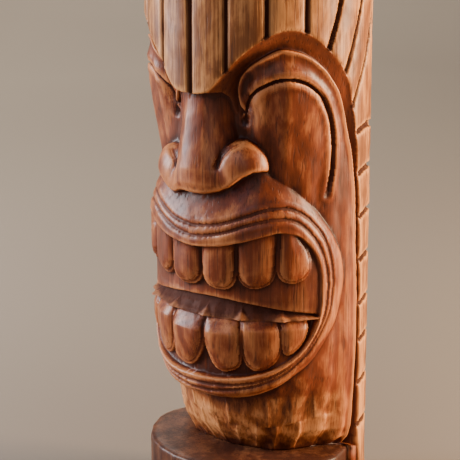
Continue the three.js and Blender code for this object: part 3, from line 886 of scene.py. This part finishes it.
def stained_timber(grain, tone):
    """The log: golden hair and mane, a red-brown mask, near-black tool cuts and painted shade on the mouth's
    shelf, satin varnish.
    """
    material, tree, surface = new_material("stained_timber")
    height, parts = grain_parts(tree, grain, 0.7)
    parts["Hollow"] = mask(tree, "hollow")
    # Light, middle and deep tone, then the strength of blotches, hollows and streaks
    finishes = {
        "hair": [(0.54, 0.233, 0.079), (0.21, 0.069, 0.0195), (0.085, 0.023, 0.0065), 1.0, 0.7, 1.3],
        "face": [(0.45, 0.155, 0.050), (0.165, 0.031, 0.0070), (0.042, 0.0068, 0.0022), 0.8, 1.0, 0.7],
        "bevel": [(0.30, 0.075, 0.018), (0.15, 0.030, 0.0075), (0.05, 0.009, 0.003), 0.5, 0.5, 0.6],
        "neck": [(0.55, 0.22, 0.075), (0.25, 0.070, 0.018), (0.055, 0.011, 0.004), 1.6, 0.8, 1.1],
    }
    tones = {}
    for name, (light, middle, deep, blotch, hollow, streaks) in finishes.items():
        tones[name] = place_group(
            tree, tone, Light=light, Middle=middle, Deep=deep, Blotch_Amount=blotch,
            Hollow_Amount=hollow, Grain_Amount=streaks, **parts
        ).outputs
    colour = blend_colours(tree, mask(tree, "neck"), tones["face"]["Color"], tones["neck"]["Color"])
    colour = blend_colours(tree, mask(tree, "bevel"), colour, tones["bevel"]["Color"])
    colour = blend_colours(tree, mask(tree, "pale"), colour, tones["hair"]["Color"])
    cut = ramp(tree, mask(tree, "dark"), 0.05, 0.6)
    # Painted shade on the mouth's shelf, in the same near-black as the stain in the cuts.
    shelf = math_node(tree, "MULTIPLY", mask(tree, "mouth"), 0.85)
    stained = math_node(tree, "MAXIMUM", math_node(tree, "MULTIPLY", cut, 0.88), shelf)
    colour = blend_colours(tree, stained, colour, CUT_STAIN_AND_SHELF_SHADE)
    wire(tree, colour, surface.inputs["Base Color"])
    rough = math_node(tree, "ADD", tones["face"]["Roughness"], math_node(tree, "MULTIPLY", stained, 0.5))
    wire(tree, rough, surface.inputs["Roughness"])
    dull = math_node(tree, "MAXIMUM", stained, ramp(tree, parts["Hollow"], 0.0, 0.5))
    dull = math_node(tree, "MAXIMUM", dull, math_node(tree, "MULTIPLY", mask(tree, "pale"), 0.65))
    varnish = math_node(tree, "MULTIPLY_ADD", dull, -0.2, 0.2, clamp=True)
    wire(tree, varnish, surface.inputs["Coat Weight"])
    surface.inputs["Specular IOR Level"].default_value = 0.2
    surface.inputs["Coat Roughness"].default_value = 0.34
    surface.inputs["Coat IOR"].default_value = 1.5
    add_bump(tree, surface, height, 0.0002, 0.45)
    return material


def plain_wall():
    """A pale floor that sweeps up into a wall, far behind, with painted shade: darker near the object and
    towards the right.
    """
    bend = 0.6
    turns = np.linspace(0.2, math.pi / 2, 8)
    sweep = [(1.4 + bend * math.sin(a), bend - bend * math.cos(a)) for a in turns]
    outline = [(-4.0, 0), (1.4, 0)] + sweep + [(2.0, 2.4)]
    points = [(x, y, z) for x in (-4.0, 4.0) for y, z in outline]
    n = len(outline)
    faces = [(i, n + i, n + i + 1, i + 1) for i in range(n - 1)]
    mesh = bpy.data.meshes.new("plain_wall")
    mesh.from_pydata(points, [], faces)
    wall = smooth(add("plain_wall", mesh))
    material, tree, surface = new_material("warm_grey_paper")
    place = object_place(tree)
    cloud = ramp(tree, noise(tree, place, 1.2, detail=1.0), 0.35, 0.65)
    spread = tree.nodes.new("ShaderNodeVectorMath")
    spread.operation = "LENGTH"
    wire(tree, place, spread.inputs[0])
    distance = math_node(tree, "ADD", spread.outputs["Value"], math_node(tree, "MULTIPLY", cloud, 0.1))
    # Painted shade: the paper darkens towards the object and stays lighter far behind it.
    tint = ramp(tree, distance, 0.15, 1.5)
    colour = blend_colours(tree, tint, (0.145, 0.119, 0.096), (0.44, 0.370, 0.297))
    # Painted shade: darker towards the right.
    sideways = tree.nodes.new("ShaderNodeVectorMath")
    sideways.operation = "DOT_PRODUCT"
    sideways.inputs[1].default_value = (0.8, 0.6, 0)
    wire(tree, place, sideways.inputs[0])
    shade = ramp(tree, sideways.outputs["Value"], -0.35, 0.35, 0, 0.5)
    wire(tree, blend_colours(tree, shade, colour, (0.21, 0.172, 0.136)), surface.inputs["Base Color"])
    surface.inputs["Roughness"].default_value = 0.9
    mesh.materials.append(material)


def tree_kit(name, sizes):
    """A Geometry Nodes tree with named size inputs; returns it with its input node and its finish socket."""
    tree = bpy.data.node_groups.new(name, "GeometryNodeTree")
    tree.interface.new_socket("Geometry", in_out="OUTPUT", socket_type="NodeSocketGeometry")
    for label, value in sizes.items():
        socket = tree.interface.new_socket(label, in_out="INPUT", socket_type=FLOAT)
        socket.default_value = value
    finish = tree.interface.new_socket("Finish", in_out="INPUT", socket_type="NodeSocketMaterial")
    given = tree.nodes.new("NodeGroupInput")
    return tree, given, finish


def joined_xyz(tree, x, y, z):
    made = tree.nodes.new("ShaderNodeCombineXYZ")
    for socket, value in zip(made.inputs, (x, y, z)):
        feed(tree, socket, value)
    return made.outputs[0]


def ends_with(tree, given, geometry):
    """Closes a tree with Realize Instances and Set Material."""
    whole = tree.nodes.new("GeometryNodeRealizeInstances")
    painted = tree.nodes.new("GeometryNodeSetMaterial")
    out = tree.nodes.new("NodeGroupOutput")
    wire(tree, geometry, whole.inputs[0])
    wire(tree, whole.outputs[0], painted.inputs["Geometry"])
    wire(tree, given.outputs["Finish"], painted.inputs["Material"])
    wire(tree, painted.outputs[0], out.inputs[0])


def grown(name, tree, finish_socket, material, sizes):
    """The tree's result as a plain mesh object with the given sizes and material."""
    obj = add(name, bpy.data.meshes.new(name))
    nodes = obj.modifiers.new("shape", "NODES")
    nodes.node_group = tree
    for item in tree.interface.items_tree:
        if item.in_out == "INPUT" and item.name in sizes:
            nodes[item.identifier] = sizes[item.name]
    nodes[finish_socket.identifier] = material
    settled(obj)
    obj.data.name = name
    return obj


def foot_block_tree():
    """The block as one sheet, wrapped from the middle of its top over the rim and down to the middle below.

    One way along the sheet runs the angle from the nose, the other way the profile."""
    tree, given, finish = tree_kit("foot_block", {
        "Radius": 0.0655, "Rear Draw": 0.005, "Back": 0.012, "Top": 0.05, "Foot": 0.002,
        "Rim": 0.0022, "Gouge Depth": 0.0005,
    })
    size = given.outputs
    sheet = tree.nodes.new("GeometryNodeMeshGrid")
    for label, value in {"Size X": 1, "Size Y": 1, "Vertices X": 241, "Vertices Y": 97}.items():
        sheet.inputs[label].default_value = value
    place = tree.nodes.new("GeometryNodeInputPosition").outputs[0]
    split = tree.nodes.new("ShaderNodeSeparateXYZ")
    wire(tree, place, split.inputs[0])
    use = partial(math_node, tree)
    angle = use("MULTIPLY", split.outputs["X"], 2 * math.pi)
    sine, cosine = use("SINE", angle), use("COSINE", angle)

    # Plan: round in front, drawn in towards the rear corners, flat behind, with eased corners
    turn = use("ABSOLUTE", angle)
    drawn = ramp(tree, turn, math.radians(76), math.radians(101), kind="SMOOTHSTEP")
    round_part = use("SUBTRACT", size["Radius"], use("MULTIPLY", drawn, size["Rear Draw"]))
    behind = use("MAXIMUM", use("MULTIPLY", cosine, -1), 0.02)
    plan = use("SMOOTH_MIN", round_part, use("DIVIDE", size["Back"], behind), 0.002)

    # Profile: a square swept by its own angle, its corners filled to a round of the rim's size
    sweep = use("MULTIPLY", use("ADD", split.outputs["Y"], 0.5), math.pi)
    out, up = use("SINE", sweep), use("COSINE", sweep)
    largest = use("MAXIMUM", use("ABSOLUTE", out), use("ABSOLUTE", up))
    flat_out = use("DIVIDE", out, largest)
    flat_up = use("DIVIDE", up, largest)
    half = use("MULTIPLY", use("SUBTRACT", size["Top"], size["Foot"]), 0.5)
    middle = use("MULTIPLY", use("ADD", size["Top"], size["Foot"]), 0.5)
    reach = use("MULTIPLY", plan, flat_out)
    height = use("MULTIPLY", half, flat_up)
    inner_plan = use("SUBTRACT", plan, size["Rim"])
    inner_half = use("SUBTRACT", half, size["Rim"])
    over_side = use("MAXIMUM", use("SUBTRACT", reach, inner_plan), 0.0)
    over_top = use("MAXIMUM", use("SUBTRACT", use("ABSOLUTE", height), inner_half), 0.0)
    length = use("ADD", use("MULTIPLY", over_side, over_side), use("MULTIPLY", over_top, over_top))
    length = use("SQRT", length)
    past = use("MAXIMUM", use("SUBTRACT", length, size["Rim"]), 0.0)
    share = use("DIVIDE", past, use("MAXIMUM", length, 1e-5))
    reach = use("SUBTRACT", reach, use("MULTIPLY", over_side, share))
    trim = use("MULTIPLY", use("MULTIPLY", over_top, share), use("SIGN", height))
    height = use("SUBTRACT", height, trim)

    # Shallow gouge flats round the side
    wave = use("ADD", use("MULTIPLY", angle, 15), use("MULTIPLY", flat_up, 0.5))
    flats = use("ABSOLUTE", use("SINE", wave))
    on_side = ramp(tree, use("DIVIDE", reach, plan), 0.93, 1.0, kind="SMOOTHSTEP")
    in_front = ramp(tree, turn, math.radians(96), math.radians(88), kind="SMOOTHSTEP")
    flats = use("MULTIPLY", flats, size["Gouge Depth"])
    cut = use("MULTIPLY", flats, use("MULTIPLY", on_side, in_front))
    reach = use("SUBTRACT", reach, cut)
    x = use("MULTIPLY", reach, sine)
    y = use("MULTIPLY", reach, use("MULTIPLY", cosine, -1))
    moved = tree.nodes.new("GeometryNodeSetPosition")
    wire(tree, sheet.outputs["Mesh"], moved.inputs["Geometry"])
    wire(tree, joined_xyz(tree, x, y, use("ADD", middle, height)), moved.inputs["Position"])
    merged = tree.nodes.new("GeometryNodeMergeByDistance")
    merged.inputs["Distance"].default_value = 1e-6
    wire(tree, moved.outputs[0], merged.inputs["Geometry"])
    turned = tree.nodes.new("GeometryNodeFlipFaces")
    wire(tree, merged.outputs[0], turned.inputs["Mesh"])
    ends_with(tree, given, turned.outputs["Mesh"])
    return tree, finish


def lag_screw_tree():
    """A screw along its own axis, a hexagon head below, a tapered shank and a thread wound round it."""
    tree, given, finish = tree_kit("lag_screw", {
        "X": 0, "Y": 0, "Base": 0, "Length": 0.072, "Shank": 0.004, "Head Across": 0.013,
        "Head Height": SCREW_HEAD_HEIGHT * MM, "Thread Height": 0.0006, "Pitch": 0.0028,
    })
    size = given.outputs
    use = partial(math_node, tree)

    def lifted(shape, height):
        lift = tree.nodes.new("GeometryNodeTransform")
        wire(tree, shape, lift.inputs["Geometry"])
        wire(tree, joined_xyz(tree, size["X"], size["Y"], height), lift.inputs["Translation"])
        return lift.outputs[0]

    def barrel(sides, radius_low, radius_high, low, high):
        cone = tree.nodes.new("GeometryNodeMeshCone")
        cone.inputs["Vertices"].default_value = sides
        wire(tree, radius_low, cone.inputs["Radius Bottom"])
        wire(tree, radius_high, cone.inputs["Radius Top"])
        wire(tree, use("SUBTRACT", high, low), cone.inputs["Depth"])
        return lifted(cone.outputs["Mesh"], low)

    base = size["Base"]
    tip = use("ADD", base, size["Length"])
    shoulder = use("SUBTRACT", tip, 0.012)
    core = use("SUBTRACT", size["Shank"], size["Thread Height"])
    point = use("MULTIPLY", size["Shank"], 0.12)
    head_radius = use("MULTIPLY", size["Head Across"], 0.5)
    head_low = use("SUBTRACT", base, size["Head Height"])
    head_edge = use("ADD", head_low, 0.0008)
    plain_end = use("ADD", base, 0.02)
    parts = [
        barrel(6, use("MULTIPLY", head_radius, 0.9), head_radius, head_low, head_edge),
        barrel(6, head_radius, head_radius, head_edge, base),
        barrel(40, size["Shank"], size["Shank"], use("SUBTRACT", base, 0.0005), plain_end),
        barrel(40, core, core, use("SUBTRACT", plain_end, 0.0005), shoulder),
        barrel(40, core, point, shoulder, tip),
    ]
    wind = tree.nodes.new("GeometryNodeCurveSpiral")
    wound = use("SUBTRACT", shoulder, plain_end)
    wind.inputs["Resolution"].default_value = 28
    wire(tree, use("DIVIDE", wound, size["Pitch"]), wind.inputs["Rotations"])
    wire(tree, core, wind.inputs["Start Radius"])
    wire(tree, core, wind.inputs["End Radius"])
    wire(tree, wound, wind.inputs["Height"])
    profile = tree.nodes.new("GeometryNodeCurvePrimitiveCircle")
    profile.inputs["Resolution"].default_value = 4
    wire(tree, size["Thread Height"], profile.inputs["Radius"])
    thread = tree.nodes.new("GeometryNodeCurveToMesh")
    thread.inputs["Fill Caps"].default_value = True
    wire(tree, lifted(wind.outputs[0], plain_end), thread.inputs["Curve"])
    wire(tree, profile.outputs["Curve"], thread.inputs["Profile Curve"])
    parts.append(thread.outputs[0])
    together = tree.nodes.new("GeometryNodeJoinGeometry")
    for part in parts:
        wire(tree, part, together.inputs[0])
    ends_with(tree, given, together.outputs[0])
    return tree, finish


def dark_timber(grain, tone):
    """The foot block: a deep red-brown stain under a thin satin varnish, with no growth rings showing."""
    material, tree, surface = new_material("dark_timber")
    height, parts = grain_parts(tree, grain, 0.6)
    del parts["Rings"]
    stain = place_group(
        tree, tone, Light=(0.19, 0.068, 0.028), Middle=(0.05, 0.0135, 0.0062),
        Deep=(0.018, 0.0048, 0.0026), Blotch_Amount=0.8, Hollow_Amount=0.0, Grain_Amount=0.9, **parts
    )
    wire(tree, stain.outputs["Color"], surface.inputs["Base Color"])
    wire(tree, stain.outputs["Roughness"], surface.inputs["Roughness"])
    surface.inputs["Specular IOR Level"].default_value = 0.22
    surface.inputs["Coat Weight"].default_value = 0.04
    surface.inputs["Coat Roughness"].default_value = 0.35
    add_bump(tree, surface, height, 0.0002, 0.5)
    return material


def pale_timber(grain, tone):
    """Bare hardwood dowel."""
    material, tree, surface = new_material("pale_timber")
    height, parts = grain_parts(tree, grain, 0.4)
    bare = place_group(
        tree, tone, Light=(0.72, 0.52, 0.30), Middle=(0.60, 0.40, 0.20), Deep=(0.38, 0.22, 0.10),
        Blotch_Amount=0.3, Hollow_Amount=0.0, Grain_Amount=0.8, **parts
    )
    wire(tree, bare.outputs["Color"], surface.inputs["Base Color"])
    surface.inputs["Roughness"].default_value = 0.7
    add_bump(tree, surface, height, 0.0002, 0.5)
    return material


def zinc_steel():
    """Zinc plate: a grey-blue bloom over fine turning marks."""
    material, tree, surface = new_material("zinc_steel")
    place = object_place(tree)
    bloom = ramp(tree, noise(tree, place, 420, detail=4.0), 0.35, 0.65)
    marks = noise(tree, place, 900, (1, 1, 7), 2)
    colour = blend_colours(tree, bloom, (0.62, 0.63, 0.65), (0.47, 0.49, 0.52))
    wire(tree, colour, surface.inputs["Base Color"])
    wire(tree, ramp(tree, bloom, 0, 1, 0.28, 0.44), surface.inputs["Roughness"])
    surface.inputs["Metallic"].default_value = 1.0
    add_bump(tree, surface, marks, 0.00008, 0.4)
    return material


def brown_felt():
    """Pressed felt: short tangled fibres, a little uneven in colour."""
    material, tree, surface = new_material("brown_felt")
    place = object_place(tree)
    fuzz = noise(tree, place, 2600, detail=4.0, roughness=0.7, distortion=1.5)
    clumps = noise(tree, place, 180, detail=3.0)
    tint = weighted(tree, fuzz, 0.6, clumps, 0.4)
    tint = ramp(tree, tint, 0.38, 0.62)
    colour = blend_colours(tree, tint, (0.035, 0.022, 0.016), (0.085, 0.058, 0.042))
    wire(tree, colour, surface.inputs["Base Color"])
    surface.inputs["Roughness"].default_value = 0.95
    surface.inputs["Sheen Weight"].default_value = 0.4
    add_bump(tree, surface, fuzz, 0.0004, 0.8)
    return material


def dress(node_name, material):
    """Gives a CAD piece that stays as it is a better finish."""
    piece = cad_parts[node_name]
    piece.data.materials.clear()
    piece.data.materials.append(material)


camera()
studio()
plain_wall()
grain = timber_grain_group()
tone = timber_tone_group()
log_timber = stained_timber(grain, tone)
carved_log = smooth(thinned(add("tiki_log", carved_log_mesh()), LOG_TRIANGLES))
carved_log.data.materials.append(log_timber)
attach(carved_log, "root")
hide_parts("carved_log")

block_tree, block_finish = foot_block_tree()
block_sizes = {"Radius": FOOT_RADIUS, "Back": FOOT_BACK, "Top": FOOT_TOP, "Foot": FOOT_LOW}
block_sizes = {label: value * MM for label, value in block_sizes.items()}
foot_block = grown("tiki_foot_block", block_tree, block_finish, dark_timber(grain, tone), block_sizes)
smooth(foot_block)
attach(foot_block, "root")
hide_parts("foot_block")

steel = zinc_steel()
screw_tree, screw_finish = lag_screw_tree()
for side in ("left", "right"):
    low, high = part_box(f"lag_screw_{side}")
    screw_base = low[2] + SCREW_HEAD_HEIGHT * MM
    screw = grown(f"threaded_screw_{side}", screw_tree, screw_finish, steel, {
        "X": (low[0] + high[0]) / 2, "Y": (low[1] + high[1]) / 2,
        "Base": screw_base, "Length": high[2] - screw_base,
    })
    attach(screw, "root")
    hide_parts(f"lag_screw_{side}")
    dress(f"washer_{side}", steel)
bare_timber = pale_timber(grain, tone)
dress("dowel_left", bare_timber)
dress("dowel_right", bare_timber)
dress("felt_sheet", brown_felt())
